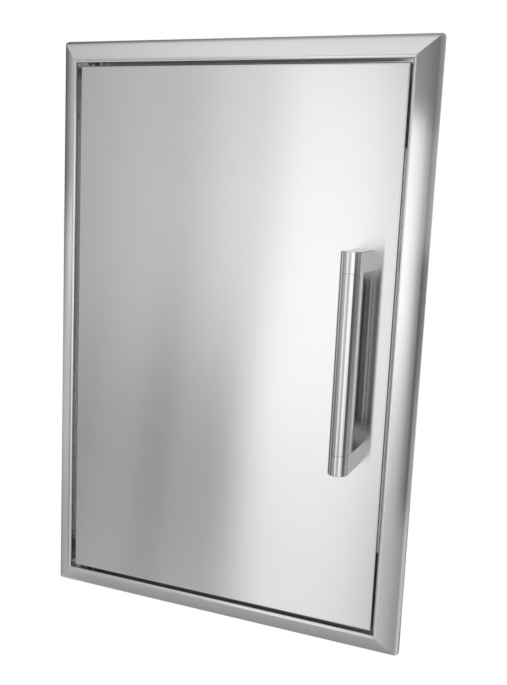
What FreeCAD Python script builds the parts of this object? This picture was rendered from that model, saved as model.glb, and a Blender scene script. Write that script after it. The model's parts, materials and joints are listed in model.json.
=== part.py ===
import FreeCAD, Part
import math
import os

from FreeCAD import Vector

# Single access door for an outdoor kitchen island. Millimetres, +Z up, +X right
# seen from the front. Y = 0 is the wall plane and the front faces -Y.
# The origin is the centre of the wall cut-out, in the wall plane.

# Frame
frame_width = 432.0
frame_height = 648.0
frame_sheet = 1.2
trim_width = 26.0
hem_width = 9.0
hem_bend = 1.5
shoulder_radius = 13.0
shoulder_turn = 54.0
face_crown_turn = 8.0
lip_radius = 2.6
return_leg = 17.0
corner_radius = 4.0
jamb_lap = 19.4
jamb_depth = 45.0
jamb_flange = 8.0
sheet_bend = 1.0
jamb_screw_radius = 2.25
jamb_screw_pitch = 220.0
jamb_screw_depth = 27.0

# Door leaf
door_gap = 3.5
leaf_offset = 1.3
door_recess = 21.2
door_depth = 20.0
door_sheet = 1.0
door_fold = 2.0
door_flange = 14.0
liner_margin = 3.0
liner_border = 30.0
liner_recess = 3.0
liner_slope = 4.0

# Pivots
pivot_inset = 12.0
pivot_setback = 8.0
pin_radius = 4.0
pin_clearance = 0.05
pin_engagement = 12.0
pin_chamfer = 1.0
pin_head_radius = 6.0
pin_head_height = 1.5
bush_wall = 1.2
bush_flange = 1.2
bush_flange_height = 1.5
running_gap = 0.2
hinge_plate_thickness = 3.0
hinge_plate_length = 44.0
hinge_plate_toe = 14.0
hinge_plate_width = 13.0
bracket_sheet = 2.0
bracket_width = 13.0
bracket_ear = 7.0
bracket_bend = 2.0
lower_bracket_height = 15.0
upper_bracket_height = 44.0

# Spring pin at the top pivot
pin_travel = 9.5
pin_tip_margin = 0.4
collar_radius = 6.5
collar_height = 2.0
spring_wire_radius = 0.6
spring_coil_radius = 5.3
spring_turns = 7
spring_chords = 8
spring_wire_sides = 5
lever_radius = 2.5
lever_drop = 8.0
lever_reach = 13.0
lever_engagement = 7.0
knob_radius = 4.5
knob_length = 9.0
knob_chamfer = 1.2
slot_clearance = 0.8

# Handle
handle_length = 224.0
handle_width = 20.6
handle_back = 5.5
handle_standoff = 38.5
handle_edge_distance = 24.5
post_height = 21.0
grip_wall = 1.5
spigot_length = 10.0
spigot_clearance = 0.05
seam_gap = 0.3
handle_edge_chamfer = 0.5
bolt_radius = 3.0
bolt_reach = 14.0
bolt_end_room = 1.0
bolt_head_flats = 10.0
bolt_head_height = 4.0
channel_sheet = 2.0
channel_width = 32.0
channel_height = 10.0
channel_overhang = 14.0

# Leaf stiffener
stiffener_crown = 26.0
stiffener_foot = 14.0
stiffener_end_gap = 16.0

# Latch side stop and magnetic catches
stop_gap = 2.0
stop_leg = 13.0
stop_width = 20.0
stop_length = 66.0
stop_end_gap = 18.0
catch_end_distance = 44.5
catch_inset = 9.8
catch_width = 14.0
catch_height = 28.0
catch_ear = 9.0
catch_ear_height = 3.0
catch_depth = 12.0
catch_wall = 2.0
magnet_width = 5.0
magnet_length = 25.0
magnet_setback = 1.2
pole_thickness = 1.5
pole_gap = 0.3
pocket_clearance = 0.1
strike_thickness = 1.2
strike_width = 12.0
strike_length = 46.0
strike_chamfer = 2.0
bumper_radius = 4.5
bumper_end_distance = 74.5
bumper_clearance = 0.3
fastener_clearance = 0.05

# Length by which a cutting form passes the metal it cuts
cut_margin = 1.0

# Places worked out from the sizes above
X = Vector(1, 0, 0)
Y = Vector(0, 1, 0)
Z = Vector(0, 0, 1)
ORIGIN = Vector(0, 0, 0)

opening_width = frame_width - 2 * trim_width
opening_height = frame_height - 2 * trim_width
door_width = opening_width - 2 * door_gap
door_height = opening_height - 2 * door_gap
door_front = -door_recess
door_back = door_front + door_depth
skin_back = door_back - door_sheet
leaf_half_width = door_width / 2
leaf_half_height = door_height / 2
leaf_left = leaf_offset - leaf_half_width
leaf_right = leaf_offset + leaf_half_width

# Heights above the wall plane along the trim section
shoulder_slope = 90.0 - shoulder_turn
lip_slope = shoulder_slope - face_crown_turn
face_slope = (shoulder_slope + lip_slope) / 2
shoulder_reach = shoulder_radius * (1 - math.cos(math.radians(shoulder_turn)))
lip_reach = lip_radius * (1 + math.sin(math.radians(lip_slope)))
face_chord = (trim_width - shoulder_reach - lip_reach) / math.cos(math.radians(face_slope))
face_radius = face_chord / (2 * math.sin(math.radians(face_crown_turn / 2)))

pivot_x = leaf_left + pivot_inset
pivot_y = door_front + pivot_setback
jamb_face = frame_sheet
plate_face = 2 * frame_sheet
plate_back = plate_face + hinge_plate_thickness
bush_radius = pin_radius + pin_clearance + bush_wall

handle_right = leaf_right - handle_edge_distance
handle_x = handle_right - handle_width / 2
bar_radius = handle_width / 2
bar_rear = door_front - handle_standoff
bar_axis = bar_rear - handle_back
post_centre = (handle_length - post_height) / 2

stop_face = door_back + stop_gap
latch_jamb_x = opening_width / 2 + jamb_face
catch_x = leaf_right - catch_inset
catch_z = leaf_half_height - catch_end_distance
bumper_z = leaf_half_height - bumper_end_distance
strike_back = door_back + strike_thickness


def box(x_low, x_high, y_low, y_high, z_low, z_high):
    """Block between two corners."""
    return Part.makeBox(x_high - x_low, y_high - y_low, z_high - z_low, Vector(x_low, y_low, z_low))


def rod(radius, start, direction, length):
    """Round bar from a start point along a direction."""
    return Part.makeCylinder(radius, length, start, direction)


def heading_vector(degrees):
    """Unit step in the section plane for a heading."""
    angle = math.radians(degrees)
    return math.cos(angle), math.sin(angle)


def trace_line(start, heading, moves, offset):
    """One side of a bent sheet as point triples: a run is a length, a bend is (radius, turn).

    A positive turn is to the left, and offset moves the line to the right of travel.
    """
    along = heading_vector(heading)
    u = start[0] + along[1] * offset
    v = start[1] - along[0] * offset
    pieces = []
    for move in moves:
        along = heading_vector(heading)
        if isinstance(move, tuple):
            radius, turn = move
            side = 1 if turn > 0 else -1
            reach = radius + side * offset
            centre_u = u - side * along[1] * reach
            centre_v = v + side * along[0] * reach
            points = [(u, v)]
            for share in (0.5, 1.0):
                radial = heading_vector(heading + turn * share)
                points.append((centre_u + side * radial[1] * reach, centre_v - side * radial[0] * reach))
            heading = heading + turn
        else:
            points = [(u, v), (u + along[0] * move, v + along[1] * move)]
        pieces.append(points)
        u, v = points[-1]
    return pieces


def bent_sheet(start, heading, moves, thickness, corner, u_axis, v_axis, length):
    """Sheet of one thickness bent along moves, with its metal to the right, drawn out along length."""
    near = trace_line(start, heading, moves, 0.0)
    far = trace_line(start, heading, moves, thickness)

    def place(point):
        return corner + u_axis * point[0] + v_axis * point[1]

    def edge(points):
        placed = [place(point) for point in points]
        if len(placed) == 3:
            return Part.Arc(*placed).toShape()
        return Part.makeLine(*placed)

    edges = [edge(points) for points in near]
    edges.append(Part.makeLine(place(near[-1][-1]), place(far[-1][-1])))
    edges.extend(edge(points) for points in reversed(far))
    edges.append(Part.makeLine(place(far[0][0]), place(near[0][0])))
    return Part.Face(Part.Wire(Part.__sortEdges__(edges))).extrude(length)


# Frame sides: distance from the centre to the outer edge, length, and turn about Y
frame_sides = {
    "bottom": (frame_height / 2, frame_width, 0),
    "hinge_side": (frame_width / 2, frame_height, 90),
    "top": (frame_height / 2, frame_width, 180),
    "latch_side": (frame_width / 2, frame_height, 270),
}


def frame_member(side, start, heading, moves):
    """One side of the frame, bent to its section and mitred at both corners."""
    half, length, turn = frame_sides[side]
    corner = Vector(-length / 2, 0, -half)
    member = bent_sheet(start, heading, moves, frame_sheet, corner, Z, -Y, X * length)
    depth = 2 * trim_width
    outline = [
        corner,
        corner + X * length,
        corner + X * (length - depth) + Z * depth,
        corner + X * depth + Z * depth,
    ]
    mitre = Part.Face(Part.makePolygon(outline + outline[:1])).extrude(Y * (2 * jamb_depth))
    mitre.translate(Y * -jamb_depth)
    member = member.common(mitre)
    member.rotate(ORIGIN, Y, turn)
    return member


def trim_member(side):
    """Face trim: hem on the wall, round shoulder, crowned face, rolled lip and return leg."""
    moves = [
        hem_width - hem_bend,
        (hem_bend, -90.0),
        (shoulder_radius, -shoulder_turn),
        (face_radius, -face_crown_turn),
        (lip_radius, -(90.0 + lip_slope)),
        return_leg,
    ]
    trim = frame_member(side, (hem_width, 0.0), 180.0, moves)
    outline = box(-frame_width / 2, frame_width / 2, -jamb_depth, jamb_depth,
                  -frame_height / 2, frame_height / 2)
    upright = [edge for edge in outline.Edges if abs(edge.tangentAt(edge.FirstParameter).y) > 0.9]
    return trim.common(outline.makeFillet(corner_radius, upright))


def jamb_member(side):
    """Wall that enters the cut-out, lapped behind the return leg, with an inward rear flange."""
    moves = [
        jamb_lap + jamb_depth - frame_sheet - sheet_bend,
        (sheet_bend, 90.0),
        jamb_flange - sheet_bend,
    ]
    return frame_member(side, (trim_width - jamb_face, jamb_lap), -90.0, moves)


def pivot_rod(radius, z_low, z_high):
    """Round form on the pivot axis."""
    return rod(radius, Vector(pivot_x, pivot_y, z_low), Z, z_high - z_low)


def make_frame():
    """Trim and jamb sides with their pivot and screw holes."""
    lip = opening_height / 2
    pivot_holes = {
        "bottom": pivot_rod(pin_radius + pin_clearance, -lip - plate_face, -lip),
        "top": pivot_rod(bush_radius + fastener_clearance, lip, lip + plate_face),
    }
    for side in frame_sides:
        trim = trim_member(side)
        jamb = jamb_member(side)
        if side in pivot_holes:
            trim = trim.cut(pivot_holes[side])
            jamb = jamb.cut(pivot_holes[side])
        else:
            outward = X if side == "latch_side" else -X
            for row in (-1, 0, 1):
                start = outward * latch_jamb_x + Vector(0, jamb_screw_depth, row * jamb_screw_pitch)
                jamb = jamb.cut(rod(jamb_screw_radius, start, outward, frame_sheet))
        yield "trim_" + side, trim
        yield "jamb_" + side, jamb


def hinge_plate(end, hole_radius):
    """Backing plate behind the jamb that carries a pivot, at the top (1) or bottom (-1)."""
    low, high = sorted((end * (opening_height / 2 + plate_face), end * (opening_height / 2 + plate_back)))
    x_low = pivot_x - hinge_plate_toe
    y_low = pivot_y - hinge_plate_width / 2
    plate = box(x_low, x_low + hinge_plate_length, y_low, y_low + hinge_plate_width, low, high)
    return plate.cut(pivot_rod(hole_radius, low - cut_margin, high + cut_margin))


def make_frame_pivots():
    """Plates, the fixed lower pin, and the bush that takes the spring pin."""
    sill = -opening_height / 2
    head = opening_height / 2
    yield "lower_hinge_plate", hinge_plate(-1, pin_radius + pin_clearance)
    yield "upper_hinge_plate", hinge_plate(1, bush_radius + fastener_clearance)

    plate_bottom = sill - plate_back
    pin = pivot_rod(pin_radius, plate_bottom, -leaf_half_height + pin_engagement)
    tip = [edge for edge in pin.Edges if edge.BoundBox.ZMin > sill and edge.BoundBox.ZLength < 0.01]
    pin = pin.makeChamfer(pin_chamfer, tip)
    pin_head = pivot_rod(pin_head_radius, plate_bottom - pin_head_height, plate_bottom)
    yield "lower_pivot_pin", pin.fuse(pin_head)

    bush = pivot_rod(bush_radius, head, head + plate_back)
    bush = bush.fuse(pivot_rod(bush_radius + bush_flange, head - bush_flange_height, head))
    bore = pivot_rod(pin_radius + pin_clearance, head - bush_flange_height - cut_margin,
                     head + plate_back + cut_margin)
    yield "upper_pivot_bush", bush.cut(bore)


def folded_block(x_half, y_low, y_high, z_half, radius):
    """Block centred on X and Z whose front edges are rounded like a fold."""
    block = box(-x_half, x_half, y_low, y_high, -z_half, z_half)
    front = [edge for edge in block.Edges if edge.BoundBox.YMax < y_low + 0.01]
    return block.makeFillet(radius, front)


def make_leaf():
    """Folded outer skin and the embossed liner that closes its back."""
    inner_half_width = leaf_half_width - door_sheet
    inner_half_height = leaf_half_height - door_sheet
    skin = folded_block(leaf_half_width, door_front, skin_back, leaf_half_height, door_fold)
    hollow = folded_block(inner_half_width, door_front + door_sheet, skin_back - door_sheet,
                          inner_half_height, door_fold - door_sheet)
    skin = skin.cut(hollow)
    mouth_width = leaf_half_width - door_flange
    mouth_height = leaf_half_height - door_flange
    skin = skin.cut(box(-mouth_width, mouth_width, skin_back - door_sheet - cut_margin,
                        skin_back + cut_margin, -mouth_height, mouth_height))
    skin.translate(X * leaf_offset)
    for end in (-1, 1):
        low, high = sorted((end * (inner_half_height - cut_margin), end * (leaf_half_height + cut_margin)))
        radius = bush_radius + fastener_clearance if end < 0 else pin_radius + pin_clearance
        skin = skin.cut(pivot_rod(radius, low, high))
        start = Vector(handle_x, door_front - cut_margin, end * post_centre)
        skin = skin.cut(rod(bolt_radius + fastener_clearance, start, Y, door_sheet + 2 * cut_margin))

    liner_half_width = leaf_half_width - liner_margin
    liner_half_height = leaf_half_height - liner_margin
    liner = box(-liner_half_width, liner_half_width, skin_back, door_back,
                -liner_half_height, liner_half_height)
    field_width = liner_half_width - liner_border
    field_height = liner_half_height - liner_border
    pan = tapered_pan(field_width, field_height, skin_back - liner_recess, door_back, 0.0)
    dish = tapered_pan(field_width, field_height, door_back - liner_recess, door_back, door_sheet)
    liner = liner.fuse(pan).cut(dish)
    liner.translate(X * leaf_offset)
    yield "door_skin", skin.cut(lever_slot())
    yield "door_liner", liner.cut(lever_slot()).removeSplitter()


def tapered_pan(x_half, z_half, y_front, y_back, inset):
    """Shallow frustum that widens towards the back, for the embossed field of the liner."""
    depth = door_back - y_front
    slope = liner_slope * depth / (liner_recess + door_sheet)
    sections = []
    for y, shrink in ((y_front, slope), (y_back, 0.0)):
        x_reach = x_half - shrink - inset
        z_reach = z_half - shrink - inset
        corners = [Vector(x_reach * i, y, z_reach * k) for i, k in ((-1, -1), (1, -1), (1, 1), (-1, 1))]
        sections.append(Part.makePolygon(corners + corners[:1]))
    return Part.makeLoft(sections, True, True)


def make_pivot_bracket(end, height, hole_radius):
    """Ears with the pivot holes, joined by a web that lies on the hinge side fold."""
    outer_z = leaf_half_height - door_sheet
    web_x = leaf_left + door_sheet
    reach = pivot_x - web_x + bracket_ear
    y_low = door_front + door_fold
    y_high = y_low + bracket_width
    low, high = sorted((end * outer_z, end * (outer_z - height)))
    outside = box(web_x, web_x + reach, y_low, y_high, low, high)
    inside = box(web_x + bracket_sheet, web_x + reach + cut_margin, y_low - cut_margin, y_high + cut_margin,
                 low + bracket_sheet, high - bracket_sheet)
    bend_edges = [edge for edge in outside.Edges
                  if abs(edge.tangentAt(edge.FirstParameter).y) > 0.9 and edge.BoundBox.XMax < web_x + 0.01]
    bracket = outside.makeFillet(bracket_bend, bend_edges).cut(inside)
    return bracket.cut(pivot_rod(hole_radius, low - cut_margin, high + cut_margin))


def make_leaf_pivots():
    """Lower bush in its bracket, and the bracket that guides the spring pin."""
    bush_hole = bush_radius + fastener_clearance
    yield "lower_pivot_bracket", make_pivot_bracket(-1, lower_bracket_height, bush_hole)
    pin_hole = pin_radius + pin_clearance
    yield "upper_pin_bracket", make_pivot_bracket(1, upper_bracket_height, pin_hole)

    sole = -leaf_half_height
    top = sole + door_sheet + lower_bracket_height
    bush = pivot_rod(bush_radius, sole, top)
    flange_bottom = sole - door_gap + running_gap
    bush = bush.fuse(pivot_rod(bush_radius + bush_flange, flange_bottom, sole))
    bore = pivot_rod(pin_hole, flange_bottom - cut_margin, top + cut_margin)
    yield "lower_pivot_bush", bush.cut(bore)


# Heights along the spring pin
upper_ear = leaf_half_height - door_sheet - bracket_sheet
lower_ear = leaf_half_height - door_sheet - upper_bracket_height + bracket_sheet
collar_top = upper_ear - running_gap
collar_bottom = collar_top - collar_height
pin_tip = opening_height / 2 + plate_back - pin_tip_margin
lever_z = lower_ear - bracket_sheet - lever_drop
lever_end = door_back + lever_reach


def lever_slot():
    """Slot through the back of the leaf that the release lever moves along."""
    half = lever_radius + slot_clearance
    front = skin_back - door_sheet - cut_margin
    back = door_back + cut_margin
    slot = box(pivot_x - half, pivot_x + half, front, back, lever_z - pin_travel, lever_z)
    for z in (lever_z - pin_travel, lever_z):
        slot = slot.fuse(rod(half, Vector(pivot_x, front, z), Y, back - front))
    return slot.removeSplitter()


def make_spring_pin():
    """Retractable pin with its collar and lever, and the knob on the lever."""
    pin = pivot_rod(pin_radius, lever_z - pin_radius, pin_tip)
    tip = [edge for edge in pin.Edges if edge.BoundBox.ZMin > pin_tip - 0.01]
    pin = pin.makeChamfer(pin_chamfer, tip)
    lever_start = Vector(pivot_x, pivot_y, lever_z)
    lever = rod(lever_radius, lever_start, Y, lever_end - pivot_y)
    yield "upper_pivot_pin", pin.fuse([lever, pivot_rod(collar_radius, collar_bottom, collar_top)])
    knob_start = Vector(pivot_x, lever_end - lever_engagement, lever_z)
    knob = rod(knob_radius, knob_start, Y, knob_length)
    rim = [edge for edge in knob.Edges if edge.BoundBox.YMin > knob_start.y + knob_length - 0.01]
    knob = knob.makeChamfer(knob_chamfer, rim)
    socket = rod(lever_radius, knob_start - Y * cut_margin, Y, lever_engagement + cut_margin)
    yield "release_knob", knob.cut(socket)


def make_spring():
    """Compression spring round the pin, between the lower ear and the collar.

    The spring is hidden in the leaf, so each turn is a few straight lengths of wire.
    """
    low = lower_ear + spring_wire_radius
    high = collar_bottom - spring_wire_radius
    steps = spring_turns * spring_chords
    points = []
    for step in range(steps + 1):
        angle = 2 * math.pi * step / spring_chords
        across = X * (spring_coil_radius * math.cos(angle)) + Y * (spring_coil_radius * math.sin(angle))
        points.append(Vector(pivot_x, pivot_y, low + (high - low) * step / steps) + across)
    path = Part.makePolygon(points)
    corners = []
    for side in range(spring_wire_sides):
        angle = 2 * math.pi * side / spring_wire_sides
        across = X * (spring_wire_radius * math.cos(angle)) + Z * (spring_wire_radius * math.sin(angle))
        corners.append(points[0] + across)
    section = Part.makePolygon(corners + corners[:1])
    return path.makePipeShell([section], True, False, 1)


def bar_section(x_half, front_radius, rear, z_low, z_high):
    """Bar with a half round front and a flat back, standing upright at the handle."""
    left_rear = Vector(handle_x - x_half, rear, z_low)
    left = Vector(handle_x - x_half, bar_axis, z_low)
    front = Vector(handle_x, bar_axis - front_radius, z_low)
    right = Vector(handle_x + x_half, bar_axis, z_low)
    right_rear = Vector(handle_x + x_half, rear, z_low)
    edges = [
        Part.makeLine(left_rear, left),
        Part.Arc(left, front, right).toShape(),
        Part.makeLine(right, right_rear),
        Part.makeLine(right_rear, left_rear),
    ]
    return Part.Face(Part.Wire(edges)).extrude(Z * (z_high - z_low))


def handle_end(end):
    """Cast end of the handle: a stretch of bar, the post and the spigot that enters the grip."""
    outer = handle_length / 2
    inner = outer - post_height
    low, high = sorted((end * outer, end * inner))
    casting = bar_section(bar_radius, bar_radius, bar_rear, low, high)
    casting = casting.fuse(box(handle_x - bar_radius, handle_right, bar_rear, door_front, low, high))
    casting = casting.removeSplitter()
    crisp = [edge for edge in casting.Edges
             if edge.BoundBox.ZLength < 0.01 and abs(edge.BoundBox.ZMin - end * outer) < 0.01
             and edge.BoundBox.YMax < door_front - 0.01]
    casting = casting.makeChamfer(handle_edge_chamfer, crisp)
    inset = grip_wall + spigot_clearance
    reach = bar_radius - inset
    spigot_low, spigot_high = sorted((end * inner, end * (inner - spigot_length)))
    casting = casting.fuse(box(handle_x - reach, handle_x + reach, bar_axis, bar_rear - inset,
                               spigot_low, spigot_high))
    start = Vector(handle_x, door_front, end * post_centre)
    return casting.cut(rod(bolt_radius + fastener_clearance, start, -Y, bolt_reach + bolt_end_room))


def make_handle():
    """Bar handle on two posts, bolted through the skin and a backing channel.

    The grip is a shell, open at the back, and the spigots of the cast ends lie in it.
    """
    yield "handle_end_top", handle_end(1)
    yield "handle_end_bottom", handle_end(-1)
    half = handle_length / 2 - post_height - seam_gap
    grip = bar_section(bar_radius, bar_radius, bar_rear, -half, half)
    bore = bar_radius - grip_wall
    hollow = bar_section(bore, bore, bar_rear + cut_margin, -half - cut_margin, half + cut_margin)
    yield "handle_grip", grip.cut(hollow)

    web = door_front + door_sheet
    reach = handle_length / 2 + channel_overhang
    moves = [
        channel_height - channel_sheet - sheet_bend,
        (sheet_bend, 90.0),
        channel_width - 2 * (channel_sheet + sheet_bend),
        (sheet_bend, 90.0),
        channel_height - channel_sheet - sheet_bend,
    ]
    corner = Vector(handle_x - channel_width / 2, web, -reach)
    start = (channel_sheet, channel_height)
    channel = bent_sheet(start, -90.0, moves, channel_sheet, corner, X, Y, Z * (2 * reach))
    bolts = []
    seat = web + channel_sheet
    for end in (-1, 1):
        middle = Vector(handle_x, seat, end * post_centre)
        hole_start = middle + Y * cut_margin
        channel = channel.cut(rod(bolt_radius + fastener_clearance, hole_start, -Y,
                                  channel_sheet + 2 * cut_margin))
        shank = rod(bolt_radius, middle, -Y, seat - door_front + bolt_reach)
        bolts.append(shank.fuse(hexagon(bolt_head_flats, middle, bolt_head_height)))
    yield "handle_channel", channel
    yield "handle_bolts", Part.makeCompound(bolts)


def hexagon(flats, centre, height):
    """Hexagon head drawn out along +Y."""
    radius = flats / math.sqrt(3)
    corners = []
    for k in range(6):
        angle = math.radians(60 * k)
        corners.append(centre + X * (radius * math.cos(angle)) + Z * (radius * math.sin(angle)))
    return Part.Face(Part.makePolygon(corners + corners[:1])).extrude(Y * height)


def make_stiffener():
    """Hat section between the skin and the liner that keeps the leaf flat."""
    depth = liner_front_of_field() - (door_front + door_sheet)
    rise = depth - 2 * sheet_bend - door_sheet
    moves = [
        stiffener_foot - sheet_bend - door_sheet,
        (sheet_bend, -90.0),
        rise - door_sheet,
        (sheet_bend + door_sheet, 90.0),
        stiffener_crown - 2 * (sheet_bend + door_sheet),
        (sheet_bend + door_sheet, 90.0),
        rise - door_sheet,
        (sheet_bend, -90.0),
        stiffener_foot - sheet_bend - door_sheet,
    ]
    reach = leaf_half_height - liner_margin - liner_border - stiffener_end_gap
    half = stiffener_crown / 2 + stiffener_foot - door_sheet
    corner = Vector(leaf_offset, 0, -reach)
    start = (-half, liner_front_of_field() - door_sheet)
    return bent_sheet(start, 0.0, moves, -door_sheet, corner, X, Y, Z * (2 * reach))


def liner_front_of_field():
    """Front of the liner's embossed field."""
    return skin_back - liner_recess


def catch_parts(end):
    """Catch housing, magnet and pole plates on the stop angle, at the top (1) or bottom (-1)."""
    z = end * catch_z
    back = stop_face + frame_sheet
    low = z - catch_height / 2
    high = z + catch_height / 2
    x_low = catch_x - catch_width / 2
    x_high = catch_x + catch_width / 2
    ears = box(x_low, x_high, back, back + catch_ear_height, low - catch_ear, high + catch_ear)
    housing = box(x_low, x_high, back, back + catch_depth, low, high).fuse(ears).removeSplitter()
    stack = magnet_width + 2 * pole_thickness
    floor = back + catch_depth - catch_wall
    pocket_half = stack / 2 + pocket_clearance
    pocket_reach = magnet_length / 2 + pocket_clearance
    window = box(catch_x - pocket_half, catch_x + pocket_half, stop_face - cut_margin, floor,
                 z - pocket_reach, z + pocket_reach)
    housing = housing.cut(window)
    pole_face = strike_back + pole_gap
    magnet = box(catch_x - magnet_width / 2, catch_x + magnet_width / 2, pole_face + magnet_setback, floor,
                 z - magnet_length / 2, z + magnet_length / 2)
    poles = []
    for side in (-1, 1):
        near, far = sorted((catch_x + side * magnet_width / 2, catch_x + side * stack / 2))
        poles.append(box(near, far, pole_face, floor, z - magnet_length / 2, z + magnet_length / 2))
    return housing, magnet, Part.makeCompound(poles), window


def make_latch():
    """Short stop angles near the ends of the latch jamb, each with a magnetic catch and a bumper."""
    moves = [
        stop_leg - 2 * frame_sheet - sheet_bend,
        (sheet_bend + frame_sheet, 90.0),
        stop_width - frame_sheet - sheet_bend,
    ]
    outer_end = opening_height / 2 - stop_end_gap
    for end, name in ((1, "upper"), (-1, "lower")):
        low = min(end * outer_end, end * (outer_end - stop_length))
        corner = Vector(latch_jamb_x, stop_face + stop_leg - frame_sheet, low)
        angle = bent_sheet((0.0, 0.0), -90.0, moves, -frame_sheet, corner, -X, Y, Z * stop_length)
        housing, magnet, poles, window = catch_parts(end)
        yield name + "_stop_angle", angle.cut(window)
        yield name + "_catch_housing", housing
        yield name + "_catch_magnet", magnet
        yield name + "_catch_poles", poles
        yield name + "_bumper", bumper(end)


def bumper(end):
    """Rubber bumper stuck on the stop angle."""
    height = stop_gap - bumper_clearance
    start = Vector(catch_x, stop_face, end * bumper_z)
    return rod(bumper_radius, start, -Y, height)


def make_strikes():
    """Steel strike plates on the liner that the catches hold."""
    for end, name in ((1, "upper"), (-1, "lower")):
        z = end * catch_z
        plate = box(catch_x - strike_width / 2, catch_x + strike_width / 2, door_back, strike_back,
                    z - strike_length / 2, z + strike_length / 2)
        edges = [edge for edge in plate.Edges if abs(edge.tangentAt(edge.FirstParameter).y) > 0.9]
        yield name + "_strike_plate", plate.makeChamfer(strike_chamfer, edges)


builders = (
    make_frame,
    make_frame_pivots,
    make_leaf,
    make_leaf_pivots,
    make_spring_pin,
    make_handle,
    make_latch,
    make_strikes,
)

nodes = {}
for builder in builders:
    nodes.update(builder())
nodes["pin_spring"] = make_spring()
nodes["door_stiffener"] = make_stiffener()

os.makedirs("parts", exist_ok=True)
for name, shape in nodes.items():
    shape.exportStep("parts/" + name + ".step")
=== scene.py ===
import json
import math

import bpy
from mathutils import Matrix, Vector


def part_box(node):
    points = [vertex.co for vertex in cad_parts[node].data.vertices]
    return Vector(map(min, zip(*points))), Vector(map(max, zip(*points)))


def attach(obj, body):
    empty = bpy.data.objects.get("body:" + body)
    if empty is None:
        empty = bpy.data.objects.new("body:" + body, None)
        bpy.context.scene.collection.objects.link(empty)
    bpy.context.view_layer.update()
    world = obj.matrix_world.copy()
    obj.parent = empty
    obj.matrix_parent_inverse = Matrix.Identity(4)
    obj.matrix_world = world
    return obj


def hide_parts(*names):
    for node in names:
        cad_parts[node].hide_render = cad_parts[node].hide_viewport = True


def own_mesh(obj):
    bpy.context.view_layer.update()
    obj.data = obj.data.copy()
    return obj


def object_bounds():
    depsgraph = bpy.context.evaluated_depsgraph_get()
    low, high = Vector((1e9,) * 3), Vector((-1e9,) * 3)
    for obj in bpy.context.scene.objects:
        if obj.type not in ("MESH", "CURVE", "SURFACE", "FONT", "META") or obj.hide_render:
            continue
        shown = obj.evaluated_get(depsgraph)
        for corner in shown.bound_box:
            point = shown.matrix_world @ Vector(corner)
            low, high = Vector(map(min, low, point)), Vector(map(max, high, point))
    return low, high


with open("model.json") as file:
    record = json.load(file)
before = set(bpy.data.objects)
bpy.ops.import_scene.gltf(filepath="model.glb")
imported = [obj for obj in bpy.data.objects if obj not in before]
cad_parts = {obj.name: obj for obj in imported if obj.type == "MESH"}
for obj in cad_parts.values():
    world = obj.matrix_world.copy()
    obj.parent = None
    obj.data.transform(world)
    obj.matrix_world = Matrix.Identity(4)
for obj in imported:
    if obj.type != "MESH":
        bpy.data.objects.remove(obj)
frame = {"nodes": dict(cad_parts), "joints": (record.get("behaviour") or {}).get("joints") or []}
nodes = frame["nodes"]
cad_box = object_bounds()


# Camera
# It stands to the right of the door and a little above its middle, and leans slightly to one side,
# as a hand-held one does.
def linked(name, data):
    """A new object of the scene, at the origin."""
    made = bpy.data.objects.new(name, data)
    bpy.context.scene.collection.objects.link(made)
    return made


camera_place = Vector((0.3912, -0.9000, 0.1618))
camera_aim = Vector((-0.36827, 0.91516, -0.16391))
camera_lean = math.radians(2.62)
camera_lens = 46.78
nearest_seen = 0.05
farthest_seen = 50.0
camera_data = bpy.data.cameras.new("camera")
camera_data.lens = camera_lens
camera_data.clip_start = nearest_seen
camera_data.clip_end = farthest_seen
camera = linked("camera", camera_data)
upright = camera_aim.to_track_quat("-Z", "Y").to_matrix().to_4x4()
camera.matrix_world = Matrix.Translation(camera_place) @ upright @ Matrix.Rotation(camera_lean, 4, "Z")
bpy.context.scene.camera = camera


# Trim
# Four sides of brushed stainless sheet, each bent to a pillow section with a rolled lip, mitred at the
# corners and welded there. The grain of each side runs along it.
class Socket:
    """A node socket. Arithmetic on it adds Math nodes to its tree, and node() adds any other node."""

    def __init__(self, socket):
        self.socket = socket

    def node(self, kind, settings, sockets, output=0):
        """Adds a node to the tree, with its settings first and then its sockets, and gives an output."""
        tree = self.socket.id_data
        added = tree.nodes.new(kind)
        for name, value in settings.items():
            setattr(added, name, value)
        for name, value in sockets.items():
            if isinstance(name, int):
                entry = added.inputs[name]
            else:
                entry = next(s for s in added.inputs if name in (s.identifier, s.name))
            if isinstance(value, Socket):
                tree.links.new(value.socket, entry)
            else:
                entry.default_value = value
        if isinstance(output, int):
            return Socket(added.outputs[output])
        return Socket(next(s for s in added.outputs if output in (s.identifier, s.name)))

    def math(self, operation, *others):
        values = dict(enumerate((self,) + others))
        return self.node("ShaderNodeMath", {"operation": operation}, values)

    def __add__(self, other):
        return self.math("ADD", other)

    __radd__ = __add__

    def __mul__(self, other):
        return self.math("MULTIPLY", other)

    __rmul__ = __mul__

    def __sub__(self, other):
        return self.math("SUBTRACT", other)

    def __rsub__(self, other):
        return self * -1.0 + other

    def __truediv__(self, other):
        return self.math("DIVIDE", other)


def blank_material(name):
    """A material with only its output, and the Object coordinates to draw its pattern on."""
    material = bpy.data.materials.new(name)
    material.use_nodes = True
    tree = material.node_tree
    tree.nodes.clear()
    place = Socket(tree.nodes.new("ShaderNodeTexCoord").outputs["Object"])
    return material, place


def show(material, shader):
    """Joins the finished shader to the material's output."""
    tree = material.node_tree
    output = tree.nodes.new("ShaderNodeOutputMaterial")
    tree.links.new(shader.socket, output.inputs["Surface"])


def grey(level):
    return (level, level, level, 1.0)


def between(share, start, end):
    """A grey that goes from one level to another as the share goes from 0 to 1."""
    return share.node(
        "ShaderNodeMix",
        {"data_type": "RGBA"},
        {"Factor_Float": share, "A_Color": grey(start), "B_Color": grey(end)},
        "Result_Color",
    )


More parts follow.
